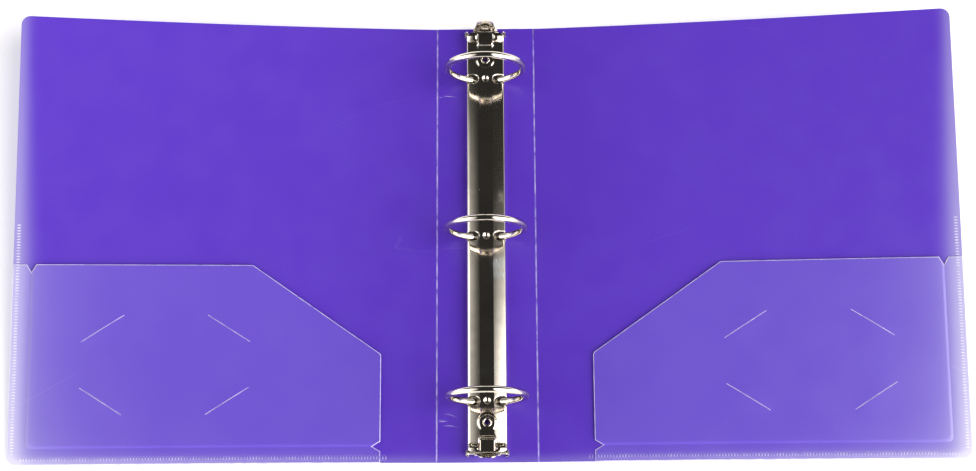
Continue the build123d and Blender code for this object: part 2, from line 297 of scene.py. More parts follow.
def makeEdgeLight():
    # Painted light: the sheet is paler near its cut edges, a glow that fades inwards from the outer and
    # end edges.
    group, given, out = startGroup(
        "edgeLight",
        {
            "Outer": gathered["outer"], "End": gathered["end"], "Narrow": 0.30, "Wide": 0.0,
            "Spread": 0.025, "Foot": 0.35,
        },
        {"Mask": "NodeSocketFloat"},
    )
    axes = axesOf(group, placeOf(group))
    side = calc(group, "ABSOLUTE", axes["X"])
    inward = calc(group, "SUBTRACT", given["Outer"], side)
    upward = calc(group, "ADD", axes["Y"], given["End"])
    reach = fade(group, axes["Y"], *gathered["reach"])
    reach.node.interpolation_type = "LINEAR"
    middle, loss = gathered["dimming"]
    dimming = calc(group, "SUBTRACT", middle, times(group, axes["Y"], loss))
    ratio = calc(group, "DIVIDE", inward, reach)
    narrow = decay(group, times(group, ratio, ratio))
    narrow = times(group, narrow, times(group, given["Narrow"], dimming))
    wide = decay(group, calc(group, "DIVIDE", inward, given["Spread"]))
    wide = times(group, calc(group, "MULTIPLY_ADD", wide, *gathered["wideShares"]), given["Wide"])
    up = calc(group, "DIVIDE", upward, gathered["footHeight"])
    foot = decay(group, times(group, up, up))
    foot = times(group, foot, times(group, given["Foot"], fade(group, side, *gathered["footRun"])))
    upRate, inRate = gathered["cornerRates"]
    # painted light in the corner where the bottom and outer edges meet
    cornerLight = times(group, decay(group, upward, upRate), decay(group, inward, inRate), given["Wide"])
    total = calc(group, "ADD", calc(group, "ADD", narrow, wide), calc(group, "ADD", foot, cornerLight))
    group.links.new(calc(group, "MINIMUM", total, gathered["most"]), out["Mask"])
    return group


def makeHandling():
    # Smudges left by fingers: soft cloudy patches.
    group, given, out = startGroup(
        "handling",
        {"Scale": 35.0, "Start": 0.56, "End": 0.74},
        {"Mask": "NodeSocketFloat"},
    )
    cloud = addNoise(group, placeOf(group), given["Scale"], 5.0, Roughness=0.6)["Fac"]
    group.links.new(fade(group, cloud, given["Start"], given["End"]), out["Mask"])
    return group


# Painted light reflected from the rings onto the spine, as pale streaks.
ringLightPlaces = {
    "row": 0.108,
    "below": 0.0125,
    "inner": (0.0165, -0.024),  # where the strokes start and are full, out from the middle
    "outer": (0.0315, -0.030),
    "reach": (0.0075, 0.002),  # how far they run up and down beside each ring
    "bend": (50.0, 0.012),
    "stretch": 0.12,
    "strokes": (420.0, 0.60, 0.72),
}


def makeRingLightStreaks():
    # Painted light: short pale streaks on the spine beside each ring, where light reflected off the rings
    # falls.
    group, given, out = startGroup(
        "rubs",
        {
            "Row": ringLightPlaces["row"], "Below": ringLightPlaces["below"],
            "Inner": ringLightPlaces["inner"][0], "Outer": ringLightPlaces["outer"][0],
        },
        {"Mask": "NodeSocketFloat"},
    )
    place = placeOf(group)
    axes = axesOf(group, place)
    down = calc(group, "ADD", axes["Y"], given["Below"])
    halfRows = [calc(group, "DIVIDE", given["Row"], share) for share in (2.0, -2.0)]
    row = calc(group, "WRAP", down, *halfRows)
    near = fade(group, calc(group, "ABSOLUTE", row), *ringLightPlaces["reach"])
    inside = fade(group, axes["X"], times(group, given["Inner"], -1.0), ringLightPlaces["inner"][1])
    edge = fade(group, axes["X"], times(group, given["Outer"], -1.0), ringLightPlaces["outer"][1])
    scale, sway = ringLightPlaces["bend"]
    bend = addNoise(group, place, scale, 1.0)["Fac"]
    wave = calc(group, "MULTIPLY_ADD", bend, sway, axes["Y"])
    feeds = {0: times(group, axes["X"], ringLightPlaces["stretch"]), 1: wave}
    spot = addNode(group, "ShaderNodeCombineXYZ", feeds).outputs[0]
    scale, start, end = ringLightPlaces["strokes"]
    stroke = fade(group, addNoise(group, spot, scale, 3.0)["Fac"], start, end)
    group.links.new(times(group, times(group, stroke, near), times(group, inside, edge)), out["Mask"])
    return group


effects = {
    "rubs": makeRingLightStreaks(),
    "emboss": makeDiagonalEmboss(),
    "scratches": makeFineScratches(),
    "specks": makeSpecks(),
    "edgeLight": makeEdgeLight(),
    "handling": makeHandling(),
}


def useEffect(tree, name, **values):
    made = addNode(tree, "ShaderNodeGroup", node_tree=effects[name])
    for label, value in values.items():
        made.inputs[label].default_value = value
    return made.outputs


def startMaterial(name, **fixed):
    material = bpy.data.materials.new(name)
    material.use_nodes = True
    tree = material.node_tree
    tree.nodes.clear()
    shader = addNode(tree, "ShaderNodeBsdfPrincipled")
    for label, value in fixed.items():
        shader.inputs[label.replace("_", " ")].default_value = value
    sink = addNode(tree, "ShaderNodeOutputMaterial")
    tree.links.new(shader.outputs[0], sink.inputs["Surface"])
    return material, tree, shader.inputs


# Finishes
sheetFinish = {
    "board": {
        "inner": (0.098, 0.034, 0.510, 1.0),  # tint near the spine, darker: painted shade
        "outer": (0.112, 0.042, 0.560, 1.0),
        "wideGlow": 0.0,
        "narrowGlow": 0.31,
        "scratched": 0.03,
        "clean": 0.985,  # share of the surface without specks
    },
    "film": {
        "inner": (0.116, 0.056, 0.560, 1.0),
        "outer": (0.128, 0.063, 0.600, 1.0),
        "wideGlow": 0.20,
        "narrowGlow": 0.28,
        "scratched": 0.14,
        "clean": 0.955,
    },
    "bright": (0.86, 0.84, 1.0, 1.0),  # pale colour for the painted edge light and ring light, and for scratches, dust and cut edges
    "drift": (9.0, 0.06),  # scale and reach of the unevenness in the tint
    # where the painted shade towards the spine gives way to the outer tint
    "tintRun": (0.02, 0.13),
    "dusty": 0.45,
    # strength of the painted ring light on the spine
    "rubbed": 0.55,
    # how strongly the painted light and shade of the ribs lightens and darkens the tint
    "embossTint": 0.075,
    "embossDepth": 0.00002,
    "embossStrength": 0.35,
    "roughness": (0.29, 0.41),
}


def makeSheetPlastic(name, slant, film=False, rubs=False):
    made, tree, shader = startMaterial(name, IOR=1.49, Specular_IOR_Level=0.5)
    look, bright = sheetFinish["film" if film else "board"], sheetFinish["bright"]
    place = placeOf(tree)
    side = calc(tree, "ABSOLUTE", axesOf(tree, place)["X"])
    scale, reach = sheetFinish["drift"]
    drift = calc(tree, "SUBTRACT", addNoise(tree, place, scale, 2.0)["Fac"], 0.5)
    along = calc(tree, "ADD", side, times(tree, drift, reach))
    # painted shade: the sheet is darker towards the spine
    tint = mixColour(tree, fade(tree, along, *sheetFinish["tintRun"]), look["inner"], look["outer"])
    emboss = useEffect(tree, "emboss", Slant=slant)
    # painted light and shade across the ribs
    shade = calc(tree, "MULTIPLY_ADD", emboss["Shade"], sheetFinish["embossTint"], 1.0)
    grey = addNode(tree, "ShaderNodeCombineColor", {0: shade, 1: shade, 2: shade}).outputs[0]
    tint = mixColour(tree, 1.0, tint, grey, "MULTIPLY")
    # painted light: the sheet turns pale towards its outer and end edges
    glow = useEffect(tree, "edgeLight", Wide=look["wideGlow"], Narrow=look["narrowGlow"])["Mask"]
    tint = mixColour(tree, glow, tint, bright)
    hair = useEffect(tree, "scratches", Scale=26.0, Length=7.0, Turn=0.25, Fineness=0.004, Cover=0.66)
    tint = mixColour(tree, times(tree, hair["Mask"], look["scratched"]), tint, bright)
    dust = useEffect(tree, "specks", Scale=75.0, Size=0.030, Share=look["clean"])
    tint = mixColour(tree, times(tree, dust["Mask"], sheetFinish["dusty"]), tint, bright)
    # painted light reflected from the rings onto the spine
    if rubs:
        marks = useEffect(tree, "rubs")["Mask"]
        tint = mixColour(tree, times(tree, marks, sheetFinish["rubbed"]), tint, bright)
    tree.links.new(tint, shader["Base Color"])
    worn = addNoise(tree, place, 45.0, 4.0)["Fac"]
    tree.links.new(fade(tree, worn, 0.3, 0.7, *sheetFinish["roughness"]), shader["Roughness"])
    feeds = {
        "Height": emboss["Height"],
        "Strength": sheetFinish["embossStrength"],
        "Distance": sheetFinish["embossDepth"],
    }
    tree.links.new(addNode(tree, "ShaderNodeBump", feeds).outputs[0], shader["Normal"])
    return made


cutEdge = {"grain": 160.0, "wide": 0.3, "narrow": 0.4, "foot": 0.35, "roughness": (0.25, 0.4)}


def makeCutEdge(name, tint, cloudy, gather=1.0):
    # A cut or creased edge of the sheet, paler in cloudy patches, and lighter near the sheet's outer and
    # end edges from the painted edge light.
    made, tree, shader = startMaterial(name, IOR=1.49)
    noise = addNoise(tree, placeOf(tree), cutEdge["grain"], 3.0)["Fac"]
    wide, narrow, foot = (cutEdge[key] * gather for key in ("wide", "narrow", "foot"))
    glow = useEffect(tree, "edgeLight", Wide=wide, Narrow=narrow, Foot=foot)["Mask"]
    amount = calc(tree, "ADD", fade(tree, noise, 0.3, 0.7, *cloudy), glow, clamp=True)
    tree.links.new(mixColour(tree, amount, tint, sheetFinish["bright"]), shader["Base Color"])
    tree.links.new(fade(tree, noise, 0.3, 0.7, *cutEdge["roughness"]), shader["Roughness"])
    return made


nickel = {
    "tint": (0.80, 0.735, 0.635, 1.0),
    "dull": (0.62, 0.57, 0.495, 1.0),
    "smudge": (0.47, 0.57, 0.62, 1.0),
    "dust": (0.95, 0.95, 0.95, 1.0),
    "dustRough": 0.5,
    "scratchRough": 0.15,
    "touchRough": 0.4,
    "print": (0.0075, -0.0215, 0.009),  # a greasy print on the plate below the middle rings
    "printReach": (0.0105, 0.003),
    "printTint": 0.5,
    "printRough": 0.13,
    "grain": (900.0, 60.0, 900.0),  # drawn out along the strip
    "scratchDepth": 0.6,
    "bump": {"Strength": 0.12, "Distance": 0.00002},
}


def makeNickel(name, roughness, smudges, brushed, thumbprint=False):
    made, tree, shader = startMaterial(name, Metallic=1.0)
    place = placeOf(tree)
    cloud = addNoise(tree, place, 70.0, 4.0)["Fac"]
    tint = mixColour(tree, fade(tree, cloud, 0.35, 0.8), nickel["tint"], nickel["dull"])
    rough = fade(tree, cloud, 0.3, 0.75, roughness, roughness * 1.6)
    touch = useEffect(tree, "handling", Scale=38.0, Start=0.60, End=0.76)["Mask"]
    if thumbprint:
        feeds = {0: place, 1: nickel["print"]}
        away = addNode(tree, "ShaderNodeVectorMath", feeds, operation="DISTANCE").outputs["Value"]
        patch = times(tree, fade(tree, away, *nickel["printReach"]), fade(tree, cloud, 0.42, 0.62))
        tint = mixColour(tree, times(tree, patch, nickel["printTint"]), tint, nickel["smudge"])
    tint = mixColour(tree, times(tree, touch, smudges), tint, nickel["smudge"])
    rough = calc(tree, "ADD", rough, times(tree, touch, smudges * nickel["touchRough"]))
    if thumbprint:
        rough = calc(tree, "ADD", rough, times(tree, patch, nickel["printRough"]))
    hair = useEffect(tree, "scratches", Scale=95.0, Length=9.0, Turn=1.35, Fineness=0.007, Cover=0.70)
    rough = calc(tree, "ADD", rough, times(tree, hair["Mask"], nickel["scratchRough"]))
    dust = useEffect(tree, "specks", Scale=240.0, Size=0.05, Share=0.97)["Mask"]
    tint = mixColour(tree, times(tree, dust, 0.5), tint, nickel["dust"])
    rough = calc(tree, "ADD", rough, times(tree, dust, nickel["dustRough"]))
    tree.links.new(tint, shader["Base Color"])
    tree.links.new(rough, shader["Roughness"])
    feeds = {"Vector": place, "Scale": nickel["grain"]}
    stretched = addNode(tree, "ShaderNodeMapping", feeds).outputs[0]
    grain = times(tree, addNoise(tree, stretched, 1.0, 2.0)["Fac"], brushed)
    height = calc(tree, "ADD", grain, times(tree, hair["Mask"], nickel["scratchDepth"]))
    feeds = {"Height": height, **nickel["bump"]}
    tree.links.new(addNode(tree, "ShaderNodeBump", feeds).outputs[0], shader["Normal"])
    return made


finishes = {
    "frontSheet": makeSheetPlastic("frontSheetPlastic", -1.0),
    "backSheet": makeSheetPlastic("backSheetPlastic", 1.0),
    # the spine's sheet carries the painted ring light
    "spineSheet": makeSheetPlastic("spineSheetPlastic", 1.0, rubs=True),
    "frontFilm": makeSheetPlastic("frontFilmPlastic", -1.0, film=True),
    "backFilm": makeSheetPlastic("backFilmPlastic", 1.0, film=True),
    "cutEdge": makeCutEdge("cutFilmEdge", (0.36, 0.28, 0.80, 1.0), (0.25, 0.75)),
    "crease": makeCutEdge("hingeCrease", (0.18, 0.10, 0.66, 1.0), (0.0, 0.42)),
    "rim": makeCutEdge("sheetRim", (0.075, 0.022, 0.42, 1.0), (0.0, 0.10), gather=0.6),
    "weld": makeCutEdge("weldMark", (0.15, 0.08, 0.62, 1.0), (0.14, 0.34), gather=0.75),
    "plate": makeNickel("nickelPlate", 0.065, 0.25, 0.5, thumbprint=True),
    "wire": makeNickel("nickelWire", 0.07, 0.06, 0.2),
    "lever": makeNickel("nickelLever", 0.09, 0.15, 0.3),
    "zinc": makeNickel("zincSteel", 0.30, 0.10, 1.0),
}
print("finishes made:", len(finishes))

# The covers' shape
boards = {
    "spineHalf": abs(frame["joints"][0]["pos_m"][0]),
    "hingeHeight": frame["joints"][0]["pos_m"][2],
    "width": 0.273,  # hinge line to outer edge
    "height": 0.292,
    "thickness": 0.0012,
    "lift": math.radians(3.5),
    "frontTwist": 0.118,  # how much further the top end stands up than the bottom end
    "backTwist": 0.098,
    "twistPower": 1.6,
    "cornerRadius": 0.006,
    "hingeGap": 0.00045,
    "cell": 0.0095,
    "edgeLines": (0.0015, 0.006),  # extra cuts in from the outer edge, the second at the ends too
    "edgeRound": 0.00028,
}


def onCover(side, u, v, w):
    # A point u out from the hinge line, v along the spine and w above the cover's middle.
    twist = boards["frontTwist"] if side < 0 else boards["backTwist"]
    share = max(u, 0.0) / boards["width"]
    bend = twist * v / boards["height"] * boards["width"] * share ** boards["twistPower"]
    rise = u * math.sin(boards["lift"]) + w * math.cos(boards["lift"])
    out = boards["spineHalf"] + u * math.cos(boards["lift"]) - w * math.sin(boards["lift"])
    return Vector((side * out, v, boards["hingeHeight"] + rise + bend))


def layOnCover(mesh, side):
    for vert in mesh.verts:
        vert.co = onCover(side, *vert.co)
    if side < 0:
        bmesh.ops.reverse_faces(mesh, faces=mesh.faces)


def flatPanel(uRange, vRange):
    mesh = bmesh.new()
    bmesh.ops.create_grid(mesh, x_segments=1, y_segments=1, size=0.5)
    size = (uRange[1] - uRange[0], vRange[1] - vRange[0], 1.0)
    middle = ((uRange[0] + uRange[1]) / 2, (vRange[0] + vRange[1]) / 2, 0.0)
    bmesh.ops.scale(mesh, vec=size, verts=mesh.verts)
    bmesh.ops.translate(mesh, vec=middle, verts=mesh.verts)
    return mesh


def everything(mesh):
    return mesh.verts[:] + mesh.edges[:] + mesh.faces[:]


def cutAcross(mesh, point, normal, geom=None, **clear):
    geom = geom or everything(mesh)
    bmesh.ops.bisect_plane(mesh, geom=geom, plane_co=point, plane_no=normal, dist=1e-7, **clear)


def cutGrid(mesh, extraU=(), extraV=(), cell=None):
    cell = cell or boards["cell"]
    for axis, extra in ((0, extraU), (1, extraV)):
        spots = [vert.co[axis] for vert in mesh.verts]
        low, high = min(spots), max(spots)
        count = max(1, round((high - low) / cell))
        cuts = [low + (high - low) * step / count for step in range(1, count)]
        for cut in cuts + list(extra):
            point, normal = [0.0, 0.0, 0.0], [0.0, 0.0, 0.0]
            point[axis], normal[axis] = cut, 1.0
            cutAcross(mesh, point, normal)


def roundCorner(mesh, u, v, radius, segments=6):
    corner = min(mesh.verts, key=lambda vert: (vert.co - Vector((u, v, 0.0))).length)
    bmesh.ops.bevel(
        mesh, geom=[corner], offset=radius, offset_type="OFFSET", affect="VERTICES",
        segments=segments, profile=0.5, material=-1,
    )


def finishPiece(name, mesh, materials, smooth=True):
    data = bpy.data.meshes.new(name)
    mesh.to_mesh(data)
    mesh.free()
    for material in materials:
        data.materials.append(finishes[material])
    if smooth:
        for face in data.polygons:
            face.use_smooth = True
    piece = bpy.data.objects.new(name, data)
    scene.collection.objects.link(piece)
    return piece


def thicken(piece, depth, offset=0.0, rim=0):
    solid = piece.modifiers.new("thickness", "SOLIDIFY")
    solid.thickness = depth
    solid.offset = offset
    solid.material_offset_rim = rim
    solid.use_even_offset = True


def softenEdges(piece, width, segments=2):
    bevel = piece.modifiers.new("softEdges", "BEVEL")
    bevel.width = width
    bevel.segments = segments
    bevel.limit_method = "ANGLE"
    bevel.angle_limit = math.radians(50.0)
    bevel.harden_normals = True


def makeCoverSheet(name, side, body, material):
    half, outer = boards["height"] / 2, boards["width"]
    mesh = flatPanel((boards["hingeGap"], outer), (-half, half))
    for v in (-half, half):
        roundCorner(mesh, outer, v, boards["cornerRadius"])
    close, far = boards["edgeLines"]
    cutGrid(mesh, extraU=(outer - close, outer - far), extraV=(half - far, far - half))
    layOnCover(mesh, side)
    piece = finishPiece(name, mesh, [material, "rim"])
    thicken(piece, boards["thickness"], rim=1)
    softenEdges(piece, boards["edgeRound"])
    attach(piece, body)
    return piece


frontCover = makeCoverSheet("frontCoverSheet", -1, "front_cover", "frontSheet")
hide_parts("front_cover_panel")
backCover = makeCoverSheet("backCoverSheet", 1, "back_cover", "backSheet")
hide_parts("back_cover_panel")
print("cover sheets made")

# Pockets
pocket = {
    "inset": 0.0358,  # hinge line to the pocket's inner edge
    "top": -0.0185,
    "foldU": 0.2609,  # fold beside the outer weld
    "foldV": -0.1357,
    "slopeWidth": 0.0832,
    "slopeHeight": 0.0583,
    "notchWidth": 0.0062,
    "notchDepth": 0.0052,
    "film": 0.0005,
    "bulge": 0.0006,
    "foldRun": 0.0010,
    "crown": (0.0004, 0.012),  # how much the slack film lifts in the middle, and over what distance
    "border": 0.00042,  # pale cut edge; near the outer and end edges it also carries the painted edge light
    "foldRadius": 0.004,
    "foldLines": (-0.0004, 0.0, 0.0005, 0.001, 0.002, 0.004, 0.006, 0.012),
    "cell": 0.007,
    "gap": 0.00002,
    "tipRadius": 0.0012,
    "slitLength": 0.032,
    "slitGap": 0.00014,
    "slitEdge": 0.00050,  # whitened lips, both together
    "slitAngle": math.radians(32.3),
    "slitMiddle": (0.1737, -0.0832),
    "slitSpread": (0.0403, 0.0233),
    "slitOpen": 0.97,  # share of the slit's length that is cut through
    "slitLip": (0.00035, 0.004),  # how much its lips lift, and how far around it
}


def soft(value):
    value = min(max(value, 0.0), 1.0)
    return value * value * (3 - 2 * value)


def slitFrames():
    for across in (-1, 1):
        for up in (-1, 1):
            middle = Vector((
                pocket["slitMiddle"][0] + across * pocket["slitSpread"][0],
                pocket["slitMiddle"][1] + up * pocket["slitSpread"][1],
                0.0,
            ))
            angle = -across * up * pocket["slitAngle"]
            yield middle, Vector((math.cos(angle), math.sin(angle), 0.0))


def nearby(mesh, corners, margin):
    low = [min(corner[axis] for corner in corners) - margin for axis in (0, 1)]
    high = [max(corner[axis] for corner in corners) + margin for axis in (0, 1)]
    faces = [
        face for face in mesh.faces
        if all(
            max(vert.co[axis] for vert in face.verts) > low[axis]
            and min(vert.co[axis] for vert in face.verts) < high[axis]
            for axis in (0, 1)
        )
    ]
    edges = {edge for face in faces for edge in face.edges}
    verts = {vert for face in faces for vert in face.verts}
    return faces + list(edges) + list(verts)


def carve(mesh, corners, finish=None, near=None):
    # Cuts along each side of a convex outline, and removes what lies inside it or gives it another finish.
    middle = sum((Vector(corner) for corner in corners), Vector()) / len(corners)
    planes = []
    for start, end in zip(corners, corners[1:] + corners[:1]):
        along = Vector(end) - Vector(start)
        normal = Vector((along.y, -along.x, 0.0)).normalized()
        if normal.dot(middle - Vector(start)) > 0:
            normal.negate()
        planes.append((Vector(start), normal))
        cutAcross(mesh, start, normal, nearby(mesh, corners, near) if near else None)
    inside = [
        face for face in mesh.faces
        if all(normal.dot(face.calc_center_median() - start) < 0 for start, normal in planes)
    ]
    if finish is None:
        bmesh.ops.delete(mesh, geom=inside, context="FACES")
    for face in inside if finish else []:
        face.material_index = finish


def slitOutline(middle, along, length, width):
    reach = along * length / 2
    step = Vector((-along.y, along.x, 0.0)) * width / 2
    return [middle - reach - step, middle + reach - step, middle + reach + step, middle - reach + step]


def filmHeight(u, v):
    # Height of the film's underside over the cover's top, from the welds at the outer and bottom edges.
    inU, inV = pocket["foldU"] - u, v - pocket["foldV"]
    radius = pocket["foldRadius"]
    if inU < radius and inV < radius:
        inside = radius - math.hypot(radius - inU, radius - inV)
    else:
        inside = min(inU, inV)
    rise = soft(inside / pocket["foldRun"]) * pocket["bulge"]
    crown, spread = pocket["crown"]
    rise += crown * (1 - math.exp(-max(inside, 0.0) / spread))
    lip, reach = pocket["slitLip"]
    for middle, along in slitFrames():
        offset = Vector((u, v, 0.0)) - middle
        run = offset.dot(along) / (pocket["slitLength"] / 2)
        away = abs(along.x * offset.y - along.y * offset.x)
        if abs(run) < 1:
            rise += lip * (1 - run * run) * math.exp(-((away / reach) ** 2))
    return rise


def makePocketFilm(name, side, body, material):
    bottom, outer = -boards["height"] / 2, boards["width"]
    top, inset = pocket["top"], pocket["inset"]
    mesh = flatPanel((inset, outer), (bottom, top))
    roundCorner(mesh, outer, bottom, boards["cornerRadius"])
    slope = Vector((pocket["slopeWidth"], pocket["slopeHeight"], 0.0))
    cutAcross(mesh, (inset, top - slope.y, 0.0), (-slope.y, slope.x, 0.0), clear_outer=True)
    for u, v in ((inset + slope.x, top), (inset, top - slope.y)):
        roundCorner(mesh, u, v, pocket["tipRadius"], 3)
    wide, deep = pocket["notchWidth"] / 2, pocket["notchDepth"]
    foldU, foldV = pocket["foldU"], pocket["foldV"]
    carve(mesh, [(foldU - wide, top, 0), (foldU + wide, top, 0), (foldU, top - deep, 0)])
    carve(mesh, [(inset, foldV - wide, 0), (inset, foldV + wide, 0), (inset + deep, foldV, 0)])
    bmesh.ops.dissolve_limit(mesh, angle_limit=0.01, verts=mesh.verts, edges=mesh.edges)
    border = bmesh.ops.inset_region(
        mesh, faces=mesh.faces, thickness=pocket["border"], use_boundary=True, use_even_offset=True,
    )
    for face in border["faces"]:
        face.material_index = 1
    for middle, along in slitFrames():
        length = pocket["slitLength"]
        carve(mesh, slitOutline(middle, along, length, pocket["slitEdge"]), 1)
        carve(mesh, slitOutline(middle, along, length * pocket["slitOpen"], pocket["slitGap"]))
    nearU = [foldU - line for line in pocket["foldLines"]]
    nearV = [foldV + line for line in pocket["foldLines"]]
    cutGrid(mesh, extraU=nearU, extraV=nearV, cell=pocket["cell"])
    lift = boards["thickness"] / 2 + pocket["film"] / 2 + pocket["gap"]
    for vert in mesh.verts:
        vert.co.z = lift + filmHeight(vert.co.x, vert.co.y)
    layOnCover(mesh, side)
    piece = finishPiece(name, mesh, [material, "cutEdge"])
    thicken(piece, pocket["film"], rim=1)
    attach(piece, body)
    return piece


frontPocket = makePocketFilm("frontPocketFilm", -1, "front_cover", "frontFilm")
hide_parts("front_pocket")
backPocket = makePocketFilm("backPocketFilm", 1, "back_cover", "backFilm")
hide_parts("back_pocket")
print("pocket films made")

# Welds
weld = {
    "outerIn": 0.0031,  # middle of the ticks, in from the outer edge
    "outerLength": 0.0026,
    "outerPitch": 0.00185,
    "outerPast": 0.026,  # how far the ticks run on above the pocket
    "bottomIn": 0.0032,
    "bottomLength": 0.0024,
    "plainLength": 0.0021,
    "bottomPitch": 0.0019,
    "plainRun": 0.020,
    "width": 0.0010,
    "rise": 0.00018,
    "fading": 0.75,  # how much lower the last tick above the pocket is
    "taper": (0.8, 0.6, 1.0),
    "dot": 0.00028,
    "dotGap": 0.0003,
    "first": (0.009, 0.007),  # first ticks, in from the outer edge and up from the bottom edge
    "innerPast": 0.005,
}


def addTick(mesh, middle, length, width, rise, turn, corners=8):
    shape = bmesh.ops.create_circle(mesh, cap_ends=True, segments=corners, radius=0.5)
    verts = shape["verts"]
    size = Matrix.Diagonal((length, width, 1.0, 1.0))
    place = Matrix.Translation(middle) @ Matrix.Rotation(turn, 4, "Z") @ size
    bmesh.ops.transform(mesh, matrix=place, verts=verts)
    face = verts[0].link_faces[0]
    if face.normal.z < 0:
        face.normal_flip()
    raised = bmesh.ops.extrude_face_region(mesh, geom=[face])
    top = [item for item in raised["geom"] if isinstance(item, bmesh.types.BMVert)]
    bmesh.ops.translate(mesh, vec=(0.0, 0.0, rise), verts=top)
    centre = sum((vert.co for vert in top), Vector()) / len(top)
    bmesh.ops.scale(mesh, vec=weld["taper"], space=Matrix.Translation(-centre), verts=top)
    bmesh.ops.delete(mesh, geom=[face], context="FACES_ONLY")


def makeWeldTicks(name, side, body):
    mesh = bmesh.new()
    outer, bottom = boards["width"], -boards["height"] / 2
    filmTop = boards["thickness"] / 2 + pocket["film"]
    v = bottom + weld["first"][1]
    while v < pocket["top"] + weld["outerPast"]:
        past = max(0.0, v - pocket["top"]) / weld["outerPast"]
        base = filmTop if v < pocket["top"] else boards["thickness"] / 2
        rise = weld["rise"] * (1 - weld["fading"] * past)
        middle = (outer - weld["outerIn"], v, base)
        addTick(mesh, middle, weld["outerLength"], weld["width"], rise, 0.0)
        v += weld["outerPitch"]
    u = outer - weld["first"][0]
    while u > pocket["inset"] - weld["innerPast"]:
        plain = u > outer - weld["plainRun"]
        base = filmTop if u > pocket["inset"] else boards["thickness"] / 2
        length = weld["plainLength"] if plain else weld["bottomLength"]
        middle = (u, bottom + weld["bottomIn"], base)
        addTick(mesh, middle, length, weld["width"], weld["rise"], math.pi / 2)
        if not plain:
            for end in (-1, 1):
                beside = middle[1] + end * (length / 2 + weld["dotGap"])
                spot = (u + weld["bottomPitch"] / 2, beside, base)
                addTick(mesh, spot, weld["dot"] * 2, weld["dot"] * 2, weld["rise"], 0.0, 6)
        u -= weld["bottomPitch"]
    layOnCover(mesh, side)
    piece = finishPiece(name, mesh, ["weld"], smooth=False)
    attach(piece, body)


makeWeldTicks("frontWeldTicks", -1, "front_cover")
makeWeldTicks("backWeldTicks", 1, "back_cover")
print("weld marks made")

# Living hinges
hinge = {
    "inward": 0.00045,
    "outward": 0.00065,
    "thickness": 0.0005,
    "raise": 0.00022,  # middle of the web above the hinge line
    "endInset": 0.0003,
    "lines": (-0.0003, 0.0, 0.0003),
    "cell": 0.012,
    "bendReach": 0.0005,
}


def makeHingeWeb(name, side):
    half = boards["height"] / 2 - hinge["endInset"]
    mesh = flatPanel((-hinge["inward"], hinge["outward"]), (-half, half))
    cutGrid(mesh, extraU=hinge["lines"], cell=hinge["cell"])
    for vert in mesh.verts:
        u, v = vert.co.xy
        lift = hinge["raise"] + max(u, 0.0) * math.sin(boards["lift"])
        vert.co = (side * (boards["spineHalf"] + u), v, boards["hingeHeight"] + lift)
    if side < 0:
        bmesh.ops.reverse_faces(mesh, faces=mesh.faces)
    piece = finishPiece(name, mesh, ["crease"])
    thicken(piece, hinge["thickness"])
    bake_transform(piece)


makeHingeWeb("frontHingeWeb", -1)
makeHingeWeb("backHingeWeb", 1)
print("hinge webs made")

# Ring plate: one pressed strip, worked out flat and then bent to its section
plate = {
    "top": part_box("ring_housing")[1].z - 0.0010,
    "base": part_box("ring_housing")[0].z,
    "halfLength": 0.1396,
    "earEnd": 0.1429,
    "steel": 0.0008,
    "crown": 0.0042,  # half width of the flat crown
    "crownBend": 0.0005,
    "flank": 0.00675,
    "flankSlope": (math.radians(9.8), math.radians(12.8)),
    "bend": 0.0024,  # radius at the shoulders
    "wallSlope": math.radians(88.0),
    "wall": 0.00467,
    "rows": (-0.10795, 0.0, 0.10795),
    "dimple": (0.0026, 0.0014),  # ball radius, and its middle above the crown
    "rivetRow": 0.1215,
    "boss": (0.0057, 0.0008, 0.0003),  # radius, soft edge and rise round each rivet
    "rivetHole": 0.0024,
    "endBoss": (0.1311, 0.0055, 0.0013, 0.0007, 0.0010),  # start, half width, side and front ramp, rise
    "wingEnd": 0.1376,
    "ear": 0.0130,  # flat distance from the middle to the ear's upper edge
    "slotEnd": (0.0076, 0.0028),  # middle of the slot's round end, and half its width
    "slotDepth": 0.0150,
    "lip": 0.0005,
    "lipDrop": 0.00032,
    "earTip": (0.0022, 0.0026),  # how far the ear's point stands out, and where its slope starts
    "fineLines": (0.0030, 9),  # closer lines round each dimple
    "crownEdge": 0.00025,
    "lines": (0.0036, 0.0046, 0.0050, 0.0055, 0.0060, 0.0068, 0.0076, 0.0086, 0.0096, 0.0106),
    "closest": 0.00012,
}


def gridFromLines(acrossLines, alongLines):
    mesh = bmesh.new()
    counts = (len(acrossLines) - 1, len(alongLines) - 1)
    bmesh.ops.create_grid(mesh, x_segments=counts[0], y_segments=counts[1], size=0.5)
    lines = (sorted(acrossLines), sorted(alongLines))
    for vert in mesh.verts:
        for axis in (0, 1):
            vert.co[axis] = lines[axis][round((vert.co[axis] + 0.5) * counts[axis])]
    return mesh


def steps(start, end, count):
    return [start + (end - start) * step / count for step in range(count + 1)]


def mirrored(lines):
    return sorted(set(round(sign * line, 7) for line in lines for sign in (-1, 1)))


def plateSection(flat):
    # Place and slope of the plate's outer face at a distance along its section from the middle.
    side, left = (1 if flat >= 0 else -1), abs(flat)
    x, z, slope = 0.0, plate["top"], 0.0
    bend = plate["crownBend"]
    (low, mid), high = plate["flankSlope"], plate["wallSlope"]
    runs = (
        (plate["crown"] - bend / 2, 0.0, 0.0),
        (bend, 0.0, low),
        (plate["flank"] - bend / 2, low, mid),
        (plate["bend"] * (high - mid), mid, high),
        (plate["wall"] * 2, high, high),
    )
    for length, start, end in runs:
        run = min(left, length)
        share = run / length
        slope = start + (end - start) * share
        middle = (start + slope) / 2
        chord = run * (1 - ((slope - start) ** 2) / 24)
        x += chord * math.cos(middle)
        z -= chord * math.sin(middle)
        left -= run
        if left <= 0:
            break
    return side * x, z, side * slope


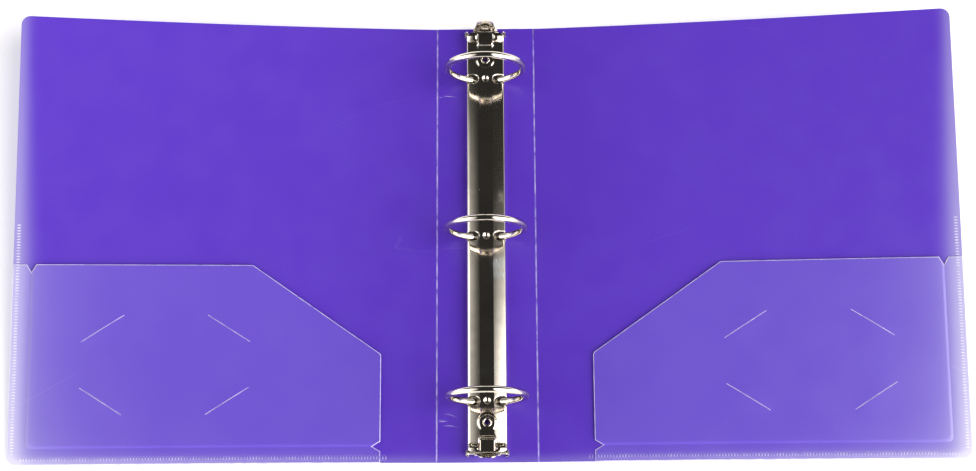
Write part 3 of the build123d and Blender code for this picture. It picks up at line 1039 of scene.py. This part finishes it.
def plateTopAt(x):
    # The outer face's height over a place x, found by a few corrections.
    flat = x
    for correction in range(4):
        flat += x - plateSection(flat)[0]
    return plateSection(flat)[1]


def plateRise(x, y):
    # Pressed features, as a height over the bent strip.
    rise = 0.0
    ball, above = plate["dimple"]
    for row in plate["rows"]:
        away = math.hypot(x, y - row)
        dent = math.sqrt(max(ball * ball - away * away, 0.0)) - above
        if dent > 0:
            rise -= dent
    radius, edge, lift = plate["boss"]
    away = math.hypot(x, abs(y) - plate["rivetRow"])
    rise += lift * soft((radius + edge / 2 - away) / edge)
    start, half, sideRamp, frontRamp, lift = plate["endBoss"]
    rise += lift * soft((half - abs(x)) / sideRamp) * soft((abs(y) - start) / frontRamp)
    return rise


def slotLip(flat, y):
    # How far the steel dips towards the edge of a ring slot.
    middle, half = plate["slotEnd"]
    if abs(flat) > plate["slotDepth"]:
        return 0.0
    away = min(math.hypot(max(middle - abs(flat), 0.0), y - row) for row in plate["rows"]) - half
    shoulder = soft((abs(flat) - plate["crown"] - plate["flank"]) / plate["bend"])
    return plate["lipDrop"] * (1 - soft(away / plate["lip"])) * (1 - shoulder)


def boxOutline(left, right, start, end):
    return [(left, start, 0.0), (right, start, 0.0), (right, end, 0.0), (left, end, 0.0)]


def circleOutline(x, y, radius, count, start=0.0, sweep=math.tau):
    share = sweep / (count if sweep >= math.tau else count - 1)
    angles = [start + share * step for step in range(count)]
    return [(x + radius * math.cos(angle), y + radius * math.sin(angle), 0.0) for angle in angles]


def plateLines():
    # Where the strip is divided, across and along, with closer lines at bends and pressed features.
    crown, fine = plate["crown"], steps(0.0, *plate["fineLines"])
    bendStart = crown + plate["flank"]
    bendEnd = bendStart + plate["bend"] * (plate["wallSlope"] - plate["flankSlope"][1])
    across = fine + [crown - plate["crownEdge"], crown, crown + plate["crownEdge"], *plate["lines"]]
    across += steps(bendStart, bendEnd, 7) + [bendEnd + plate["wall"]]
    along = steps(0.0, plate["earEnd"], 60)
    for row in (0.0, plate["rows"][2]):
        along += [abs(row + sign * line) for line in fine for sign in (-1, 1)]
    radius, edge = plate["boss"][:2]
    along += [plate["rivetRow"] + step for step in steps(-radius - edge, radius + edge, 22)]
    along += steps(plate["endBoss"][0], plate["endBoss"][0] + plate["endBoss"][3], 4)
    along += [plate["wingEnd"], plate["halfLength"]]
    spaced = []
    for line in sorted(set(along)):
        if not spaced or line - spaced[-1] > plate["closest"]:
            spaced.append(line)
    return mirrored(across), mirrored(spaced)


def cutRingSlots(mesh, side):
    middle, half = plate["slotEnd"]
    turn, depth = side * math.pi / 2, side * plate["slotDepth"]
    for row in plate["rows"]:
        for grow, finish in ((plate["lip"], 0), (plate["lip"] / 2, 0), (0.0, None)):
            outline = circleOutline(side * middle, row, half + grow, 9, turn, math.pi)
            outline += [(depth, outline[-1][1], 0.0), (depth, outline[0][1], 0.0)]
            carve(mesh, outline, finish, near=0.0005)


def cutPlateEnd(mesh, side, sign):
    # Clears the steel between the end boss and the ear, and slopes the ear's point.
    inner, outer = side * plate["endBoss"][1], plate["ear"]
    start, end = plate["wingEnd"], sign * (plate["earEnd"] + 0.001)
    carve(mesh, boxOutline(inner, side * outer, sign * start, end), near=0.001)
    out, down = plate["earTip"]
    root = side * (outer - 0.0001)
    point = [(root, end - sign * down, 0.0), (side * (outer + out), end, 0.0), (root, end, 0.0)]
    carve(mesh, point, near=0.001)


def makeRingPlate():
    mesh = gridFromLines(*plateLines())
    for side in (-1, 1):
        cutRingSlots(mesh, side)
        for sign in (-1, 1):
            cutPlateEnd(mesh, side, sign)
    half, far = plate["endBoss"][1] + 0.0002, plate["earEnd"] + 0.001
    for sign in (-1, 1):
        carve(mesh, boxOutline(-half, half, sign * plate["halfLength"], sign * far), near=0.001)
        carve(mesh, circleOutline(0.0, sign * plate["rivetRow"], plate["rivetHole"], 16), near=0.001)
    bmesh.ops.remove_doubles(mesh, verts=mesh.verts, dist=0.00001)
    for edge in mesh.edges:
        edge.smooth = not edge.is_boundary
    for vert in mesh.verts:
        x, z, slope = plateSection(vert.co.x)
        rise = plateRise(x, vert.co.y) - slotLip(vert.co.x, vert.co.y)
        height = max(z + rise * math.cos(slope), plate["base"])
        vert.co = Vector((x + rise * math.sin(slope), vert.co.y, height))
    piece = finishPiece("ringPlate", mesh, ["plate"])
    thicken(piece, plate["steel"], offset=-1.0)
    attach(piece, "spine")
    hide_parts("ring_housing")


makeRingPlate()
print("ring plate made")

# Eyelets that hold the plate to the spine
eyelet = {
    # radius and height of the rolled rim and the bore below it
    "rim": (
        (0.0030, 0.0), (0.00298, 0.00022), (0.0028, 0.0004), (0.00255, 0.0005), (0.0023, 0.00049),
        (0.00205, 0.00040), (0.00186, 0.0002), (0.00178, -0.0003), (0.00176, -0.0060),
    ),
    "steel": 0.00025,
    "segments": 40,
    "floor": 0.0013,
}


def makeEyelet(name, sign):
    seat = plate["top"] + plate["boss"][2]
    row = sign * plate["rivetRow"]
    mesh = bmesh.new()
    points = [mesh.verts.new((radius, row, seat + height)) for radius, height in eyelet["rim"]]
    points.append(mesh.verts.new((0.0, row, eyelet["floor"])))
    edges = [mesh.edges.new(pair) for pair in zip(points, points[1:])]
    bmesh.ops.spin(
        mesh, geom=points + edges, cent=(0.0, row, 0.0), axis=(0.0, 0.0, 1.0), angle=math.tau,
        steps=eyelet["segments"], use_merge=True,
    )
    bmesh.ops.remove_doubles(mesh, verts=mesh.verts, dist=0.00001)
    bmesh.ops.recalc_face_normals(mesh, faces=mesh.faces)
    if sum(face.normal.z for face in mesh.faces) < 0:
        bmesh.ops.reverse_faces(mesh, faces=mesh.faces)
    for face in mesh.faces:
        if len(face.verts) == 3:
            face.material_index = 1
    piece = finishPiece(name + "_eyelet", mesh, ["wire", "spineSheet"])
    thicken(piece, eyelet["steel"], offset=-1.0)
    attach(piece, "spine")
    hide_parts(name + "_rivet")


makeEyelet("top", 1)
makeEyelet("bottom", -1)
print("eyelets made")

# Levers: one pressed piece from the two lobes over the plate, round a bend and up to the thumb
lever = {
    "pivot": 0.1403,
    "lobeStart": 0.1345,
    "lobeEnd": 0.1386,
    "bendStart": 0.1403,
    "lobeGap": 0.0059,  # half the width left free for the plate's end boss
    "clear": 0.00016,
    "lobeRise": 0.0006,
    "dome": (0.0007, 2.2, 2.5),  # rise of each lobe, and how steeply it starts and ends
    "half": 0.0119,
    "waist": 0.0079,
    "tip": 0.0057,
    "lean": (math.radians(9.0), math.radians(36.0)),
    "bendRadius": 0.0011,
    "thumb": 0.0102,
    "cornerRadius": 0.0034,
    "lobeCorner": 0.0018,
    "sheet": 0.0006,
    "dish": (0.0030, 0.0026, 0.0006, 0.0048),  # half width, half height, depth and height up the thumb
    "curl": 0.0007,  # how far the thumb's sides stand back
    "strip": 0.0004,  # kept between the boss opening and the bend
    "edgeRound": 0.00022,
    "pivotHeight": 0.0046,
    "barrel": 0.0020,
    "barrelHalf": 0.0082,
    "tongue": (0.0130, 0.0012, 0.0052),
    "tonguePlace": (0.0014, 0.0024),  # beyond and above the pivot
    "arm": (0.0064, 0.0032, 0.0008),
    "armPlaces": ((-0.0026, -0.0012), (-0.0026, 0.0014)),
    "coreRound": 0.00015,
}


def leverWidth(y, height):
    # Half width: full over the lobes, narrowing through the bend, tapering up the thumb to a round top.
    neck = soft((y - lever["lobeEnd"]) / (lever["bendStart"] + lever["bendRadius"] - lever["lobeEnd"]))
    taper = min(height / (lever["thumb"] - lever["cornerRadius"]), 1.0)
    width = lever["half"] + (lever["waist"] - lever["half"]) * neck
    width += (lever["tip"] - lever["waist"]) * taper
    corners = (
        (lever["thumb"] - height, lever["cornerRadius"]),
        (y - lever["lobeStart"], lever["lobeCorner"]),
    )
    for down, radius in corners:
        if down < radius:
            width -= radius - math.sqrt(max(radius * radius - (radius - down) ** 2, 0.0))
    return width


def leverPoint(share, run):
    # share goes from -1 to 1 across the lever and run along it from the lobes' free edge.
    lobe = lever["bendStart"] - lever["lobeStart"]
    radius, (lean, tipLean) = lever["bendRadius"], lever["lean"]
    turn = math.pi / 2 - lean
    arc = radius * turn
    if run < lobe:
        y = lever["lobeStart"] + run
        x = share * leverWidth(y, 0.0)
    elif run < lobe + arc:
        y = lever["bendStart"] + radius * math.sin((run - lobe) / radius)
        x = share * leverWidth(y, 0.0)
    else:
        y = lever["bendStart"] + radius * math.sin(turn)
        x = share * leverWidth(y, run - lobe - arc)
    along = min(run / lobe, 1.0)
    rim = (abs(x) - lever["lobeGap"]) / (lever["half"] - lever["lobeGap"])
    dome, rising, falling = lever["dome"]
    bulge = max(0.0, 1 - (2 * rim - 1) ** 4) * soft(along * rising) * soft((1 - along) * falling)
    z = plateTopAt(max(abs(x), lever["lobeGap"])) + lever["clear"]
    z += lever["lobeRise"] * soft(along) + dome * bulge
    if run <= lobe:
        return Vector((x, y, z))
    if run < lobe + arc:
        return Vector((x, y, z + radius * (1 - math.cos((run - lobe) / radius))))
    height = run - lobe - arc
    rate = (tipLean - lean) / lever["thumb"]
    angle = lean + rate * height
    wide, tall, deep, middle = lever["dish"]
    oval = (x / wide) ** 2 + ((height - middle) / tall) ** 2
    back = deep * math.exp(-oval * oval) + lever["curl"] * (x / lever["waist"]) ** 2
    y += (math.cos(lean) - math.cos(angle)) / rate + back * math.cos(angle)
    z += radius * (1 - math.cos(turn)) + (math.sin(angle) - math.sin(lean)) / rate - back * math.sin(angle)
    return Vector((x, y, z))


def makeLever(name, sign):
    lobe = lever["bendStart"] - lever["lobeStart"]
    arc = lever["bendRadius"] * (math.pi / 2 - lever["lean"][0])
    gap = lever["lobeGap"] / lever["half"]
    across = mirrored(steps(0.0, gap, 8) + steps(gap, 1.0, 10))
    along = steps(0.0, lobe, 14) + steps(lobe, lobe + arc, 5)[1:]
    along += steps(lobe + arc, lobe + arc + lever["thumb"], 22)[1:]
    mesh = gridFromLines(across, along)
    boss = [
        face for face in mesh.faces
        if abs(face.calc_center_median().x) < gap
        and face.calc_center_median().y < lobe - lever["strip"]
    ]
    bmesh.ops.delete(mesh, geom=boss, context="FACES")
    for vert in mesh.verts:
        vert.co = leverPoint(vert.co.x, vert.co.y)
        vert.co.y *= sign
    if sign < 0:
        bmesh.ops.reverse_faces(mesh, faces=mesh.faces)
    piece = finishPiece(name + "_shape", mesh, ["lever"])
    thicken(piece, lever["sheet"], offset=1.0)
    softenEdges(piece, lever["edgeRound"], 3)
    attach(piece, name)
    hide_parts(name)


def addBlock(mesh, size, beyond, above, sign):
    # A block on the lever's core, placed from the pivot.
    middle = (0.0, sign * (lever["pivot"] + beyond), lever["pivotHeight"] + above)
    matrix = Matrix.Translation(middle) @ Matrix.Diagonal((*size, 1.0))
    bmesh.ops.create_cube(mesh, size=1.0, matrix=matrix)


def makeLeverCore(name, sign):
    # The barrel round the pin, the tongue up to the bend and the two arms that work the blades.
    core = bmesh.new()
    turn = Matrix.Rotation(math.pi / 2, 4, "Y")
    place = Matrix.Translation((0.0, sign * lever["pivot"], lever["pivotHeight"]))
    bmesh.ops.create_cone(
        core, cap_ends=True, segments=24, radius1=lever["barrel"], radius2=lever["barrel"],
        depth=2 * lever["barrelHalf"], matrix=place @ turn,
    )
    addBlock(core, lever["tongue"], *lever["tonguePlace"], sign)
    for beyond, above in lever["armPlaces"]:
        addBlock(core, lever["arm"], beyond, above, sign)
    inner = finishPiece(name + "_core", core, ["lever"], smooth=False)
    softenEdges(inner, lever["coreRound"])
    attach(inner, name)


for name, sign in (("top_lever", 1), ("bottom_lever", -1)):
    makeLever(name, sign)
    makeLeverCore(name, sign)
print("levers made")

# Parts kept from the CAD model
keptParts = {
    "spine_panel": "spineSheet",
    "top_spacer": "zinc",
    "bottom_spacer": "zinc",
    "top_lever_pin": "zinc",
    "bottom_lever_pin": "zinc",
    "left_blade": "zinc",
    "right_blade": "zinc",
}
for row in ("bottom", "middle", "top"):
    for half in ("left", "right"):
        keptParts[f"{row}_ring_{half}"] = "wire"
for node, material in keptParts.items():
    slots = frame["nodes"][node].data.materials
    slots.clear()
    slots.append(finishes[material])
print("kept parts finished:", len(keptParts))


# Floor
table = {"size": 6.0, "below": 0.0005, "tint": (0.93, 0.93, 0.94, 1.0), "glow": 0.35}


def layTable():
    mesh = bmesh.new()
    bmesh.ops.create_grid(mesh, x_segments=1, y_segments=1, size=table["size"] / 2)
    bmesh.ops.translate(mesh, vec=(0.0, 0.0, -table["below"]), verts=mesh.verts)
    data = bpy.data.meshes.new("table")
    mesh.to_mesh(data)
    mesh.free()
    floor = bpy.data.objects.new("table", data)
    scene.collection.objects.link(floor)
    made, tree, shader = startMaterial("palePaper", Roughness=0.8, Emission_Strength=table["glow"])
    shader["Base Color"].default_value = table["tint"]
    shader["Emission Color"].default_value = (1.0, 1.0, 1.0, 1.0)
    data.materials.append(made)


layTable()
